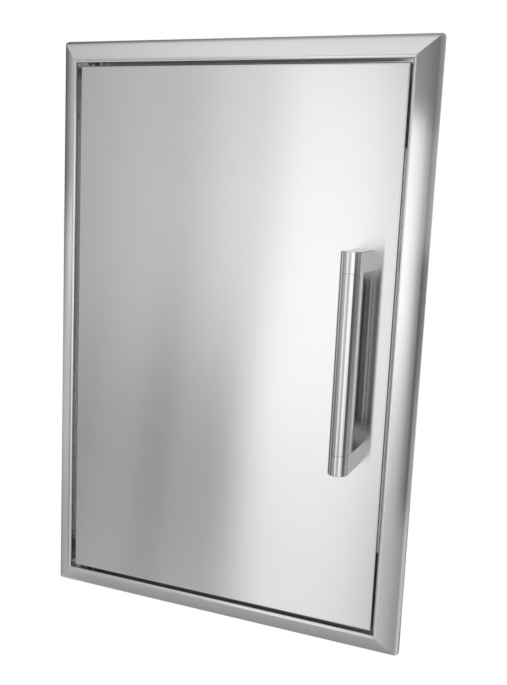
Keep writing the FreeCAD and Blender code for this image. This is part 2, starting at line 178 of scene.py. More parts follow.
def toned(level, tone):
    """A grey of the given level that a tone about 0 makes lighter and darker."""
    half = min(level, 0.5)
    return between(tone + 0.5, level - half, level + half)


def bumped(height, strength, depth):
    """The normal of a surface whose relief is as deep as given, in metres."""
    return height.node(
        "ShaderNodeBump", {}, {"Strength": strength, "Distance": depth, "Height": height}, "Normal"
    )


def surface(material, colour, roughness, normal, fixed):
    """Finishes a material with what varies over it, and with the values that are the same all over."""
    varying = {"Base Color": colour, "Roughness": roughness, "Normal": normal}
    show(material, colour.node("ShaderNodeBsdfPrincipled", {}, varying | fixed))
    return material


# How a pattern is scaled along X, Y and Z. A small share draws its cells out in that direction.
EVEN = (1.0, 1.0, 1.0)
GRAIN_ALONG_X = (0.012, 1.0, 1.0)
GRAIN_ALONG_Z = (1.0, 1.0, 0.012)
QUARTER_TURN = 0.25


def stretched_noise(place, scale, stretch=EVEN, detail=3.0, seed=0.0):
    """Noise about 0 whose cells are longer along one direction, as grain is. Stretch is per axis."""
    drawn = place.node(
        "ShaderNodeMapping",
        {},
        {"Vector": place, "Scale": stretch, "Location": (seed, seed, seed)},
    )
    return place.node("ShaderNodeTexNoise", {}, {"Vector": drawn, "Scale": scale, "Detail": detail}) - 0.5


def steel(name, level, roughness, grain, blur, turn=0.0, streak=0.012, uneven=0.012):
    """Brushed steel: streaks along the grain, a slow cloudiness, and reflections blurred one way.

    Turn is how far the direction of that blur is turned, as a share of a full turn.
    """
    material, place = blank_material(name)
    fine = stretched_noise(place, scale=1400.0, stretch=grain, detail=4.0)
    broad = stretched_noise(place, scale=260.0, stretch=grain, seed=3.7)
    cloud = stretched_noise(place, scale=9.0, detail=2.0, seed=1.3)
    tone = fine * (streak * 2.0) + broad * (streak * 1.4) + cloud * (uneven * 2.0)
    return surface(
        material,
        toned(level, tone),
        tone * 0.6 + roughness,
        bumped(fine * 0.5 + broad * 0.5, strength=0.06, depth=0.0002),
        {"Metallic": 1.0, "Anisotropic": blur, "Anisotropic Rotation": turn},
    )


upright_trim_steel = steel("upright_trim_steel", level=0.62, roughness=0.14, grain=GRAIN_ALONG_Z, blur=1.0)
level_trim_steel = steel(
    "level_trim_steel", level=0.62, roughness=0.15, grain=GRAIN_ALONG_X, blur=1.0, turn=QUARTER_TURN
)

frame_half_width = cad_box[1].x
frame_half_height = cad_box[1].z
corner_radius = 0.004
trim_width = 0.026
trim_sheet = 0.0012
hem_length = 0.0075
edge_radius = 0.0015
shoulder_radius = 0.013
shoulder_turn = 54.0
face_turn = 8.0
lip_radius = 0.0026
leg_length = 0.017
square_turn = 90.0
outwards = 180.0
face_start = square_turn - shoulder_turn
face_end = face_start - face_turn
shoulder_reach = shoulder_radius * (1 - math.cos(math.radians(shoulder_turn)))
lip_reach = lip_radius * (1 + math.sin(math.radians(face_end)))
face_reach = trim_width - shoulder_reach - lip_reach
face_chord = face_reach / math.cos(math.radians((face_start + face_end) / 2))
face_radius = face_chord / (2 * math.sin(math.radians(face_turn / 2)))
trim_runs = (
    (hem_length, None),
    (edge_radius, square_turn),
    (shoulder_radius, shoulder_turn),
    (face_radius, face_turn),
    (lip_radius, face_end + square_turn),
    (leg_length, None),
)
degrees_per_step = 6.0
fewest_steps = 3


def section_line(offset):
    """Points of one side of the bent sheet, from the hem on the wall to the end of the return leg.

    A run without a turn is straight. The others are arcs of their radius, which turn to the right.
    """
    heading = outwards
    u, v = edge_radius + hem_length, offset
    points = [(u, v)]
    for size, turn in trim_runs:
        onwards = math.radians(heading)
        if turn is None:
            u = u + math.cos(onwards) * size
            v = v + math.sin(onwards) * size
            points.append((u, v))
            continue
        radius = size - offset
        centre_u = u + math.sin(onwards) * radius
        centre_v = v - math.cos(onwards) * radius
        steps = max(fewest_steps, round(turn / degrees_per_step))
        for step in range(1, steps + 1):
            angle = math.radians(heading - turn * step / steps)
            points.append((centre_u - math.sin(angle) * radius, centre_v + math.cos(angle) * radius))
        heading = heading - turn
        u, v = points[-1]
    return points


def outline(name, points, closed):
    """A line of straight runs for a tree to read, with three numbers at each point."""
    curve = bpy.data.curves.new(name, "CURVE")
    curve.dimensions = "3D"
    spline = curve.splines.new("POLY")
    spline.points.add(len(points) - 1)
    for point, place in zip(spline.points, points):
        point.co = (*place, 1.0)
    spline.use_cyclic_u = closed
    return linked(name, curve)


def geometry_tree(name, inputs):
    """An empty Geometry Nodes tree with named inputs, and those inputs as sockets."""
    tree = bpy.data.node_groups.new(name, "GeometryNodeTree")
    tree.interface.new_socket("Geometry", in_out="INPUT", socket_type="NodeSocketGeometry")
    for label, kind in inputs:
        tree.interface.new_socket(label, in_out="INPUT", socket_type="NodeSocket" + kind)
    tree.interface.new_socket("Geometry", in_out="OUTPUT", socket_type="NodeSocketGeometry")
    entry = tree.nodes.new("NodeGroupInput")
    return tree, {socket.name: Socket(socket) for socket in entry.outputs if socket.name}


def parts_of(vector):
    """The three numbers of a vector."""
    return [vector.node("ShaderNodeSeparateXYZ", {}, {"Vector": vector}, axis) for axis in "XYZ"]


def read_outline(drawn, where, index):
    """The three numbers at one point of an outline, by its place in the row."""
    taken = where.node(
        "GeometryNodeSampleIndex",
        {"data_type": "FLOAT_VECTOR", "domain": "POINT"},
        {"Geometry": drawn, "Value": where, "Index": index},
    )
    return parts_of(taken)


def shaded(geometry, crease):
    """Smooth faces, with an edge left crisp where it bends by more than the crease, in degrees."""
    smooth = geometry.node(
        "GeometryNodeSetShadeSmooth", {"domain": "FACE"}, {"Geometry": geometry, "Shade Smooth": True}
    )
    bend = geometry.node("GeometryNodeInputMeshEdgeAngle", {}, {})
    gentle = bend.math("LESS_THAN", math.radians(crease))
    return smooth.node(
        "GeometryNodeSetShadeSmooth", {"domain": "EDGE"}, {"Geometry": smooth, "Shade Smooth": gentle}
    )


def finish_tree(tree, made, material):
    """Realizes what the tree has made, gives it its material and joins it to the output."""
    plain = made.node("GeometryNodeRealizeInstances", {}, {"Geometry": made})
    painted = made.node("GeometryNodeSetMaterial", {}, {"Geometry": plain, "Material": material})
    output = tree.nodes.new("NodeGroupOutput")
    tree.links.new(painted.socket, output.inputs[0])
    return tree


def grown(name, tree, values, body, node_slot, *replaced):
    """The plain mesh that a tree grows from its named values, riding on a body of the frame."""
    seed = linked(name + "_seed", bpy.data.meshes.new(name + "_seed"))
    modifier = seed.modifiers.new("grow", "NODES")
    modifier.node_group = tree
    for item in tree.interface.items_tree:
        if item.in_out == "INPUT" and item.name in values:
            modifier[item.identifier] = values[item.name]
    evaluated = seed.evaluated_get(bpy.context.evaluated_depsgraph_get())
    mesh = bpy.data.meshes.new_from_object(evaluated)
    mesh.name = name
    bpy.data.objects.remove(seed)
    piece = linked(name, mesh)
    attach(piece, body)
    if replaced:
        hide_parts(*replaced)
    return piece


def mitred_trim_tree():
    """Runs the closed section along one side, round half of each corner, and closes its mitred ends."""
    stations = 17
    weld_distance = 0.000002
    tree, given = geometry_tree(
        "mitred_trim",
        (
            ("Section", "Object"),
            ("Half Length", "Float"),
            ("Half Span", "Float"),
            ("Corner Radius", "Float"),
            ("Turn", "Float"),
            ("Steel", "Material"),
        ),
    )
    half_length = given["Half Length"]
    round_corner = given["Corner Radius"]
    section = given["Section"].node("GeometryNodeObjectInfo", {}, {"Object": given["Section"]}, "Geometry")
    count = section.node("GeometryNodeAttributeDomainSize", {"component": "CURVE"}, {"Geometry": section})
    sheet = section.node(
        "GeometryNodeMeshGrid",
        {},
        {"Size X": 2.0, "Size Y": 1.0, "Vertices X": stations, "Vertices Y": count + 1.0},
    )

    def placed(geometry, share, u, v):
        """Moves points to their share of the way from the middle, at 0, to an end, at -1 or 1.

        The first half of that way is straight, and the second goes round the corner as far as its mitre.
        """
        far = share.math("ABSOLUTE")
        angle = (far - 0.5).math("MAXIMUM", 0.0) * (math.pi / 2)
        reach = (round_corner - u).math("MAXIMUM", 0.0)
        straight = (far * 2.0).math("MINIMUM", 1.0) * (half_length - round_corner)
        station = (straight + reach * angle.math("SINE")).math("MINIMUM", half_length - u)
        inward = (round_corner - reach * angle.math("COSINE")).math("MAXIMUM", u)
        spot = share.node(
            "ShaderNodeCombineXYZ",
            {},
            {"X": station * share.math("SIGN"), "Y": v * -1.0, "Z": inward - given["Half Span"]},
        )
        return share.node("GeometryNodeSetPosition", {}, {"Geometry": geometry, "Position": spot})

    where = section.node("GeometryNodeInputPosition", {}, {})
    grid_x, grid_y = parts_of(where)[:2]
    index = ((grid_y + 0.5) * count).math("ROUND").math("MODULO", count)
    u, v = read_outline(section, where, index)[:2]
    joined = where.node("GeometryNodeJoinGeometry", {}, {"Geometry": placed(sheet, grid_x, u, v)})
    cap = section.node("GeometryNodeFillCurve", {"mode": "NGONS"}, {"Curve": section})
    for share in (-1.0, 1.0):
        end_share = where.node("ShaderNodeValue", {}, {})
        end_share.socket.default_value = share
        end = placed(cap, end_share, grid_x, grid_y)
        if share > 0.0:
            end = end.node("GeometryNodeFlipFaces", {}, {"Mesh": end})
        tree.links.new(end.socket, joined.socket.node.inputs[0])
    welded = joined.node(
        "GeometryNodeMergeByDistance", {}, {"Geometry": joined, "Distance": weld_distance}
    )
    turn = given["Turn"].node("ShaderNodeCombineXYZ", {}, {"Y": given["Turn"]})
    turned = welded.node("GeometryNodeTransform", {}, {"Geometry": welded, "Rotation": turn})
    return finish_tree(tree, shaded(turned, crease=35.0), given["Steel"])


section_points = section_line(0.0) + section_line(trim_sheet)[::-1]
trim_section = outline("trim_section", [(u, v, 0.0) for u, v in section_points], closed=True)
trim_tree = mitred_trim_tree()
far_middle = (0.0, 10.0, 0.0)
wide_space = (100.0, 1.0, 1.0)
for side, half_span, half_run, turn, finish in (
    ("bottom", frame_half_height, frame_half_width, 0.0, level_trim_steel),
    ("hinge_side", frame_half_width, frame_half_height, math.pi / 2, upright_trim_steel),
    ("top", frame_half_height, frame_half_width, math.pi, level_trim_steel),
    ("latch_side", frame_half_width, frame_half_height, -math.pi / 2, upright_trim_steel),
):
    values = {
        "Section": trim_section,
        "Half Length": half_run,
        "Half Span": half_span,
        "Corner Radius": corner_radius,
        "Turn": turn,
        "Steel": finish,
    }
    trim = grown("trim." + side, trim_tree, values, "frame", "frame_steel", "trim_" + side)
    if finish == level_trim_steel:
        # The blur turns about the middle of this space, so from far away it points one way all along.
        trim.data.use_auto_texspace = False
        trim.data.texspace_location = far_middle
        trim.data.texspace_size = wide_space
bpy.data.objects.remove(trim_section)


# Jamb
# Four sides of plain mill-finish sheet behind the trim, spot-welded to its return legs, that enter the
# cut-out and carry the screws. The mill leaves it dull and a little cloudy.
def mill_steel(name, level, roughness, rolled):
    """Plain sheet as it leaves the mill: cloudy, faintly lined along its rolling, with tiny pits."""
    material, place = blank_material(name)
    cloud = stretched_noise(place, scale=16.0, detail=4.0, seed=2.1)
    lines = stretched_noise(place, scale=420.0, stretch=rolled, seed=5.3)
    pits = stretched_noise(place, scale=1500.0, detail=2.0, seed=8.9)
    tone = cloud * 0.16 + lines * 0.08 + pits * 0.04
    return surface(
        material,
        toned(level, tone),
        tone * 0.5 + roughness,
        bumped(pits * 0.6 + lines * 0.4, strength=0.12, depth=0.0002),
        {"Metallic": 1.0},
    )


def paint(material, *names):
    """Gives CAD nodes that stay in view their finish."""
    for name in names:
        nodes[name].material_slots[0].material = material


upright_jamb_steel = mill_steel("jamb_steel_upright", level=0.62, roughness=0.2, rolled=(1.0, 1.0, 0.02))
level_jamb_steel = mill_steel("jamb_steel_level", level=0.56, roughness=0.34, rolled=(0.02, 1.0, 1.0))
paint(upright_jamb_steel, "jamb_hinge_side", "jamb_latch_side")
paint(level_jamb_steel, "jamb_top", "jamb_bottom")


# Frame pivots
# Thick steel plates behind the jamb hold a turned pin below and a black acetal bush above. The pin's
# head lies under its plate, and the bush's flange bears on the trim.
def turned_steel(name, level, roughness, marking):
    """Steel from the lathe, with fine tool marks stretched per axis and a slight stain."""
    material, place = blank_material(name)
    marks = stretched_noise(place, scale=2600.0, stretch=marking)
    stain = stretched_noise(place, scale=120.0, seed=4.4)
    tone = marks * 0.14 + stain * 0.08
    return surface(
        material,
        toned(level, tone),
        tone + roughness,
        bumped(marks, strength=0.2, depth=0.00005),
        {"Metallic": 1.0},
    )


def moulding(name, level, roughness, grain, depth, speckle=0.3):
    """Dark plastic, rubber or ferrite: a fine grain in the surface, and a tone that is never quite even."""
    material, place = blank_material(name)
    skin = stretched_noise(place, scale=grain, detail=4.0, seed=1.9)
    drift = stretched_noise(place, scale=grain * 0.04, detail=2.0, seed=6.5)
    share = (skin * 1.2 + drift * 0.8 + 0.5).math("MAXIMUM", 0.0).math("MINIMUM", 1.0)
    return surface(
        material,
        between(share, level * (1.0 - speckle), level * (1.0 + speckle)),
        drift * 0.2 + roughness,
        bumped(skin, strength=0.5, depth=depth),
        {},
    )


ROUND_THE_PIN = (0.02, 0.02, 1.0)
bracket_steel = mill_steel("bracket_steel", level=0.5, roughness=0.4, rolled=(0.3, 1.0, 1.0))
pin_steel = turned_steel("pin_steel", level=0.6, roughness=0.24, marking=ROUND_THE_PIN)
acetal = moulding("black_acetal", level=0.03, roughness=0.32, grain=1800.0, depth=0.00002)
paint(bracket_steel, "lower_hinge_plate", "upper_hinge_plate")
paint(pin_steel, "lower_pivot_pin")
paint(acetal, "upper_pivot_bush", "lower_pivot_bush")

# Leaf
# A pan of brushed sheet with folded edges and its grain across the door. A liner with an embossed field
# is riveted to its rear flanges, and a hat-section stiffener stands between the two sheets.
door_steel = steel(
    "door_steel", level=0.62, roughness=0.15, grain=GRAIN_ALONG_X, blur=1.0, turn=QUARTER_TURN
)
liner_steel = steel(
    "liner_steel",
    level=0.55,
    roughness=0.3,
    grain=GRAIN_ALONG_X,
    blur=0.7,
    turn=QUARTER_TURN,
    streak=0.03,
    uneven=0.02,
)
paint(door_steel, "door_skin")
paint(liner_steel, "door_liner")
paint(bracket_steel, "door_stiffener")


def turned_row_tree():
    """Spins a profile about an axis along Y, with lobes where it asks for them, and repeats it in a row."""
    weld_distance = 0.000001
    tree, given = geometry_tree(
        "turned_row",
        (
            ("Profile", "Object"),
            ("Sides", "Int"),
            ("Lobes", "Float"),
            ("Lobe Depth", "Float"),
            ("Start", "Vector"),
            ("Step", "Vector"),
            ("Count", "Int"),
            ("Finish", "Material"),
        ),
    )
    profile = given["Profile"].node("GeometryNodeObjectInfo", {}, {"Object": given["Profile"]}, "Geometry")
    count = profile.node("GeometryNodeAttributeDomainSize", {"component": "CURVE"}, {"Geometry": profile})
    web = profile.node(
        "GeometryNodeMeshGrid",
        {},
        {"Size X": 1.0, "Size Y": 1.0, "Vertices X": given["Sides"] + 1.0, "Vertices Y": count},
    )
    where = profile.node("GeometryNodeInputPosition", {}, {})
    grid_x, grid_y = parts_of(where)[:2]
    index = ((grid_y + 0.5) * (count - 1.0)).math("ROUND")
    radius, along, lobed = read_outline(profile, where, index)
    angle = grid_x * (2.0 * math.pi)
    ripple = (angle * given["Lobes"]).math("COSINE") * -0.5 + 0.5
    radius = radius * (1.0 - ripple * given["Lobe Depth"] * lobed)
    spot = where.node(
        "ShaderNodeCombineXYZ",
        {},
        {"X": radius * angle.math("COSINE"), "Y": along, "Z": radius * angle.math("SINE")},
    )
    spun = where.node("GeometryNodeSetPosition", {}, {"Geometry": web, "Position": spot})
    welded = spun.node("GeometryNodeMergeByDistance", {}, {"Geometry": spun, "Distance": weld_distance})
    smooth = shaded(welded, crease=40.0)
    row = smooth.node(
        "GeometryNodeMeshLine",
        {"mode": "OFFSET"},
        {"Count": given["Count"], "Start Location": given["Start"], "Offset": given["Step"]},
    )
    repeated = smooth.node("GeometryNodeInstanceOnPoints", {}, {"Points": row, "Instance": smooth})
    return finish_tree(tree, repeated, given["Finish"])


turned_tree = turned_row_tree()


def turned_row(
    name, profile, finish, middle, body, node_slot, *replaced,
    step=(0.0, 0.0, 0.0), count=1, lobes=0.0, lobe_depth=0.0, sides=24,
):
    """Turned pieces in a row centred on middle, whose axes run along Y.

    Each point of the profile is a radius, a place along Y, and its share of the lobes.
    """
    drawn = outline(name + "_profile", profile, closed=False)
    values = {
        "Profile": drawn,
        "Sides": sides,
        "Lobes": lobes,
        "Lobe Depth": lobe_depth,
        "Start": tuple(place - pitch * (count - 1) / 2 for place, pitch in zip(middle, step)),
        "Step": step,
        "Count": count,
        "Finish": finish,
    }
    piece = grown(name, turned_tree, values, body, node_slot, *replaced)
    bpy.data.objects.remove(drawn)
    return piece


rivet_steel = turned_steel("rivet_steel", level=0.56, roughness=0.34, marking=EVEN)
rivet_head = (
    (0.0, 0.00025, 0.0),
    (0.00065, 0.0003, 0.0),
    (0.00075, 0.0009, 0.0),
    (0.001, 0.00095, 0.0),
    (0.0017, 0.0008, 0.0),
    (0.00225, 0.00045, 0.0),
    (0.0024, 0.00005, 0.0),
    (0.0023, -0.0003, 0.0),
    (0.0, -0.0003, 0.0),
)
rivet_inset = 0.0045
rivet_pitch = 0.07
rivets_up_a_side = 7
rivets_across = 5
liner_low, liner_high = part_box("door_liner")
liner_middle = (liner_low + liner_high) / 2
for side, rivet_x in (("hinge", liner_low.x + rivet_inset), ("latch", liner_high.x - rivet_inset)):
    turned_row(
        "liner_rivets." + side,
        rivet_head,
        rivet_steel,
        (rivet_x, liner_high.y, liner_middle.z),
        "door",
        "turned_steel",
        step=(0.0, 0.0, rivet_pitch),
        count=rivets_up_a_side,
    )
for side, rivet_z in (("bottom", liner_low.z + rivet_inset), ("top", liner_high.z - rivet_inset)):
    turned_row(
        "liner_rivets." + side,
        rivet_head,
        rivet_steel,
        (liner_middle.x, liner_high.y, rivet_z),
        "door",
        "turned_steel",
        step=(rivet_pitch, 0.0, 0.0),
        count=rivets_across,
    )

# Leaf pivots
# Folded brackets on the hinge side fold of the leaf: the lower one holds an acetal bush, and the upper
# one guides the spring pin, which a lever and a black knob draw down to lift the leaf out. That pin's
# steel is painted dark as shade, so that it reads as dark as the shaded top gap it stands in.
paint(bracket_steel, "lower_pivot_bracket", "upper_pin_bracket")
# Painted shade: the upper pivot pin's steel is made dark so that it shows as the shade of the top gap.
pin_steel_painted_gap_shade = turned_steel("pin_steel_painted_gap_shade", level=0.3, roughness=0.36, marking=ROUND_THE_PIN)
paint(pin_steel_painted_gap_shade, "upper_pivot_pin")


def wound_spring_tree():
    """Winds wire up from its foot, with the first and the last turn closed and even pitch between them."""
    wire_sides = 12
    tree, given = geometry_tree(
        "wound_spring",
        (
            ("Turns", "Float"),
            ("Points", "Int"),
            ("Coil Radius", "Float"),
            ("Wire Radius", "Float"),
            ("Foot", "Vector"),
            ("Length", "Float"),
            ("Wire", "Material"),
        ),
    )
    wire_radius = given["Wire Radius"]
    line = wire_radius.node("GeometryNodeMeshLine", {"mode": "OFFSET"}, {"Count": given["Points"]})
    point = line.node("GeometryNodeInputIndex", {}, {})
    turn = point * given["Turns"] / (given["Points"] - 1.0)
    closed_turns = turn.math("MINIMUM", 1.0) + (turn - (given["Turns"] - 1.0)).math("MAXIMUM", 0.0)
    open_share = ((turn - 1.0) / (given["Turns"] - 2.0)).math("MAXIMUM", 0.0).math("MINIMUM", 1.0)
    open_length = given["Length"] - wire_radius * 6.0
    angle = turn * (2.0 * math.pi)
    swing = turn.node(
        "ShaderNodeCombineXYZ",
        {},
        {
            "X": angle.math("COSINE") * given["Coil Radius"],
            "Y": angle.math("SINE") * given["Coil Radius"],
            "Z": closed_turns * wire_radius * 2.0 + open_share * open_length + wire_radius,
        },
    )
    spot = swing.node("ShaderNodeVectorMath", {"operation": "ADD"}, {0: swing, 1: given["Foot"]})
    wound = line.node("GeometryNodeSetPosition", {}, {"Geometry": line, "Position": spot})
    path = wound.node("GeometryNodeMeshToCurve", {}, {"Mesh": wound})
    ring = wire_radius.node(
        "GeometryNodeCurvePrimitiveCircle",
        {"mode": "RADIUS"},
        {"Resolution": wire_sides, "Radius": wire_radius},
    )
    wire = path.node(
        "GeometryNodeCurveToMesh", {}, {"Curve": path, "Profile Curve": ring, "Fill Caps": True}
    )
    return finish_tree(tree, shaded(wire, crease=50.0), given["Wire"])


spring_wire = steel(
    "spring_wire", level=0.46, roughness=0.3, grain=EVEN, blur=0.0, streak=0.05, uneven=0.03
)
spring_turns = 9
points_per_turn = 32
spring_low, spring_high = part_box("pin_spring")
spring_middle = (spring_low + spring_high) / 2
values = {
    "Turns": float(spring_turns),
    "Points": spring_turns * points_per_turn + 1,
    "Coil Radius": 0.0052,
    "Wire Radius": 0.0006,
    "Foot": (spring_middle.x, spring_middle.y, spring_low.z),
    "Length": spring_high.z - spring_low.z,
    "Wire": spring_wire,
}
spring = grown(
    "wound_pin_spring", wound_spring_tree(), values, "release_pin", "spring_steel", "pin_spring"
)
# The spring fills the space from the lower ear of its bracket to the collar of the pin, which moves.
spring_space = (0.2515, 0.2893)
pin_travel = next(joint["range_m"][1] for joint in frame["joints"] if joint["name"] == "pin_release")
kept = 1.0 - pin_travel / (spring_space[1] - spring_space[0])
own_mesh(spring)

knob_plastic = moulding("knob_plastic", level=0.02, roughness=0.26, grain=2200.0, depth=0.00002)
knob_low, knob_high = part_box("release_knob")
knob_middle = (knob_low + knob_high) / 2
knob_radius = (knob_high.z - knob_low.z) / 2
knob_length = knob_high.y - knob_low.y
knob_profile = (
    (0.0, knob_length, 0.0),
    (knob_radius * 0.5, knob_length, 0.0),
    (knob_radius * 0.72, knob_length - 0.0002, 0.3),
    (knob_radius * 0.9, knob_length - 0.0007, 0.8),
    (knob_radius, knob_length - 0.0016, 1.0),
    (knob_radius, 0.0014, 1.0),
    (knob_radius * 0.95, 0.0006, 0.6),
    (knob_radius * 0.86, 0.0, 0.0),
    (0.0, 0.0, 0.0),
)
turned_row(
    "fluted_knob",
    knob_profile,
    knob_plastic,
    (knob_middle.x, knob_low.y, knob_middle.z),
    "release_pin",
    "knob_plastic",
    "release_knob",
    lobes=12.0,
    lobe_depth=0.1,
    sides=96,
)

# Handle
# A half-round shell, open at the back, between two cast ends whose posts are bolted through the skin to
# a channel. The seams stay visible, the shell is satin, and the castings are a little duller.
grip_steel = steel(
    "grip_steel",
    level=0.58,
    roughness=0.12,
    grain=GRAIN_ALONG_Z,
    blur=0.85,
    turn=QUARTER_TURN,
    streak=0.02,
)
cast_steel = steel(
    "cast_steel",
    level=0.6,
    roughness=0.15,
    grain=(1.0, 1.0, 0.1),
    blur=0.6,
    turn=QUARTER_TURN,
    streak=0.02,
    uneven=0.02,
)
bolt_steel = turned_steel("bolt_steel", level=0.58, roughness=0.3, marking=(1.0, 0.05, 1.0))
paint(grip_steel, "handle_grip")
paint(cast_steel, "handle_end_top", "handle_end_bottom")
paint(bolt_steel, "handle_bolts")
paint(bracket_steel, "handle_channel")

# Stops and catches
# Short folded angles near the ends of the latch jamb carry a rubber bumper and a magnetic catch each. The
# catch is a black housing with a ferrite magnet between two pole plates, held by two screws, and it
# grips a steel strike riveted to the liner.
housing_plastic = moulding("housing_plastic", level=0.035, roughness=0.42, grain=1500.0, depth=0.00004)
ferrite = moulding("ferrite", level=0.08, roughness=0.5, grain=2600.0, depth=0.00003, speckle=0.5)
bumper_rubber = moulding("bumper_rubber", level=0.035, roughness=0.72, grain=900.0, depth=0.00005)
pole_steel = mill_steel("pole_steel", level=0.5, roughness=0.3, rolled=(1.0, 1.0, 0.05))
screw_head = (
    (0.0, 0.0006, 0.0),
    (0.00125, 0.0007, 1.0),
    (0.0014, 0.0019, 1.0),
    (0.0017, 0.00205, 0.0),
    (0.0023, 0.0019, 0.0),
    (0.0028, 0.0014, 0.0),
    (0.003, 0.0007, 0.0),
    (0.003, 0.0, 0.0),
    (0.0, 0.0, 0.0),
)
strike_rivet = (
    (0.0, 0.0004, 0.0),
    (0.0012, 0.00036, 0.0),
    (0.0019, 0.00022, 0.0),
    (0.0022, 0.0, 0.0),
    (0.0021, -0.0002, 0.0),
    (0.0, -0.0002, 0.0),
)
ear_depth = 0.003
screw_inset = 0.0045
strike_rivet_inset = 0.005
for end in ("upper", "lower"):
    paint(upright_jamb_steel, end + "_stop_angle")
    paint(housing_plastic, end + "_catch_housing")
    paint(ferrite, end + "_catch_magnet")
    paint(pole_steel, end + "_catch_poles", end + "_strike_plate")
    ear_low, ear_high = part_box(end + "_catch_housing")
    catch_middle = (ear_low + ear_high) / 2
    turned_row(
        "catch_screws." + end,
        screw_head,
        bolt_steel,
        (catch_middle.x, ear_low.y + ear_depth, catch_middle.z),
        "frame",
        "turned_steel",
        step=(0.0, 0.0, ear_high.z - ear_low.z - 2 * screw_inset),
        count=2,
        lobes=6.0,
        lobe_depth=0.3,
        sides=48,
    )
    strike_low, strike_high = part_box(end + "_strike_plate")
    turned_row(
        "strike_rivets." + end,
        strike_rivet,
        rivet_steel,
        (catch_middle.x, strike_high.y, (strike_low.z + strike_high.z) / 2),
        "door",
        "turned_steel",
        step=(0.0, 0.0, strike_high.z - strike_low.z - 2 * strike_rivet_inset),
        count=2,
    )
    bumper_low, bumper_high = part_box(end + "_bumper")
    thick = bumper_high.y - bumper_low.y
    wide = (bumper_high.x - bumper_low.x) / 2
    bumper_profile = (
        (0.0, 0.0, 0.0),
        (wide, 0.0, 0.0),
        (wide, -thick * 0.45, 0.0),
        (wide * 0.94, -thick * 0.75, 0.0),
        (wide * 0.78, -thick * 0.93, 0.0),
        (wide * 0.5, -thick, 0.0),
        (0.0, -thick, 0.0),
    )
    turned_row(
        "domed_bumper." + end,
        bumper_profile,
        bumper_rubber,
        (catch_middle.x, bumper_high.y, (bumper_low.z + bumper_high.z) / 2),
        "frame",
        "bumper_rubber",
        end + "_bumper",
        sides=48,
    )


# Studio
# A pale floor that fades out, and round the door a tent of pale cloth lit from outside under a pale
# ceiling. Tent and ceiling show only in the steel. The world behind them is white.
def circle(radius, height, sides):
    """The corners of a level ring."""
    turns = [2 * math.pi * k / sides for k in range(sides)]
    return [(radius * math.cos(turn), radius * math.sin(turn), height) for turn in turns]


def staged(name, corners, faces, material):
    """A piece of the studio, which is no part of the door."""
    mesh = bpy.data.meshes.new(name)
    mesh.from_pydata(corners, [], faces)
    mesh.materials.append(material)
    piece = linked(name, mesh)
    return piece


def rise(value, start, end):
    """0 below start and 1 above end, with a soft step between them."""
    return value.node(
        "ShaderNodeMapRange",
        {"interpolation_type": "SMOOTHSTEP"},
        {"Value": value, "From Min": start, "From Max": end},
    )


def fall(value, start, end):
    """1 below start and 0 above end, with a soft step between them."""
    return 1.0 - rise(value, start, end)


def band(value, start, end, soft):
    """1 between start and end and 0 outside, with edges as soft as given."""
    return rise(value, start - soft / 2, start + soft / 2) - rise(value, end - soft / 2, end + soft / 2)


floor_level = -0.80
floor_radius = 0.66
floor_fade = (0.44, 0.64)
floor_sides = 64
# The floor's tone darkens from the front to behind the door as painted shade.
front_tone = 0.97
back_painted_shade_tone = 0.66
painted_shade_step = (-0.15, 0.13)
floor_lift = 0.4
# It is whiter in front of the door than behind it, where its darker tone is painted shade, and a little
# brighter to the camera than to the steel.
floor_paint, place = blank_material("floor_paint")
floor_x, floor_y = parts_of(place)[:2]
away = (floor_x * floor_x + floor_y * floor_y).math("SQRT")
tone = between(rise(floor_y, *painted_shade_step), front_tone, back_painted_shade_tone)
matt = place.node("ShaderNodeBsdfDiffuse", {}, {"Color": tone})
looked_at = place.node("ShaderNodeLightPath", {}, {}, "Is Camera Ray")
lift = place.node("ShaderNodeEmission", {}, {"Color": looked_at * floor_lift})
pale = place.node("ShaderNodeAddShader", {}, {0: matt, 1: lift})
clear = place.node("ShaderNodeBsdfTransparent", {}, {})
show(floor_paint, place.node("ShaderNodeMixShader", {}, {0: rise(away, *floor_fade), 1: pale, 2: clear}))
floor_rim = circle(floor_radius, floor_level, floor_sides)
staged("floor", floor_rim, [list(range(floor_sides))], floor_paint)


